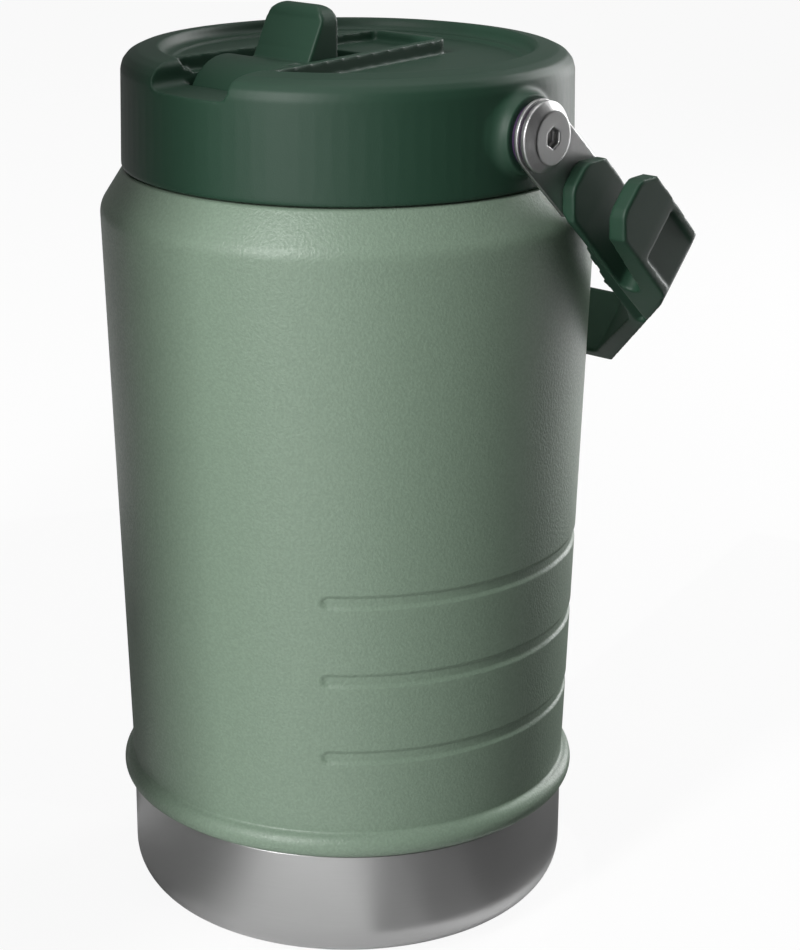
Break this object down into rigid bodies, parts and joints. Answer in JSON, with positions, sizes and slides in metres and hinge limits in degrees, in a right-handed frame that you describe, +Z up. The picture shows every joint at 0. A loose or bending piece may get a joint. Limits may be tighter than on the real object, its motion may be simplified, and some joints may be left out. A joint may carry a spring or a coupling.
{
  "type": "growler",
  "caption": "Insulated steel growler with a screw-on lid, a flip-up drinking spout over a straw, and a swinging bail handle with hook plates",
  "frame": {"origin": "middle of the underside of the steel base, on the jug's turning axis", "axes": "+Z up along the jug's axis, -Y toward the drinking spout, +X toward the right-hand handle pivot"},
  "size_m": [0.1598, 0.1442, 0.2439],
  "materials": {
    "outer_shell": "hammertone powder coat, light green",
    "base_cup": "circular brushed",
    "seal_disc": "dull",
    "liner": "satin",
    "getter": "dull",
    "lid_gasket": "silicone",
    "lid_cap": "fine matte, dark green",
    "lid_inner": "satin",
    "lid_foam": "foam",
    "spout_seal": "silicone",
    "vent_valve": "silicone",
    "straw_socket": "translucent satin",
    "straw": "translucent",
    "hinge_pins": "polished",
    "inserts": "turned",
    "boss_washers": "nylon",
    "head_rings": "nylon",
    "pivot_bolts": "turned, satin",
    "spout": "fine matte, dark green",
    "mouthpiece": "soft silicone",
    "straps": "brushed",
    "bushes": "nylon",
    "grip": "fine matte, dark green",
    "strap_rivets": "satin"
  },
  "bodies": {
    "jug": {"outer_shell": "outer_shell", "base_cup": "base_cup", "seal_disc": "seal_disc", "liner": "liner", "getter": "getter"},
    "seal_ring": {"lid_gasket": "lid_gasket"},
    "lid": {"lid_cap": "lid_cap", "lid_inner": "lid_inner", "lid_foam": "lid_foam", "spout_seal": "spout_seal", "vent_valve": "vent_valve", "straw_socket": "straw_socket", "straw": "straw", "hinge_pins": "hinge_pins", "inserts": "inserts", "boss_washers": "boss_washers", "head_rings": "head_rings", "pivot_bolts": "pivot_bolts"},
    "spout": {"spout": "spout", "mouthpiece": "mouthpiece"},
    "handle": {"straps": "straps", "bushes": "bushes", "grip": "grip", "strap_rivets": "strap_rivets"}
  },
  "joints": [
    {"name": "lid_lift", "type": "slide", "parent": "jug", "child": "seal_ring", "axis": [0, 0, 1], "range_m": [0, 0.0075]},
    {"name": "lid_turn", "type": "hinge", "parent": "seal_ring", "child": "lid", "pos_m": [0, 0, 0], "axis": [0, 0, 1], "range_deg": [0, 540]},
    {"name": "spout_flip", "type": "hinge", "parent": "lid", "child": "spout", "pos_m": [0, -0.0326, 0.2193], "axis": [1, 0, 0], "range_deg": [0, 90]},
    {"name": "handle_swing", "type": "hinge", "parent": "lid", "child": "handle", "pos_m": [0, 0, 0.216], "axis": [1, 0, 0], "range_deg": [0, 265]}
  ],
  "couplings": [
    {"joint": "lid_lift", "follows": "lid_turn", "m_per_rad": 0.00079577}
  ]
}
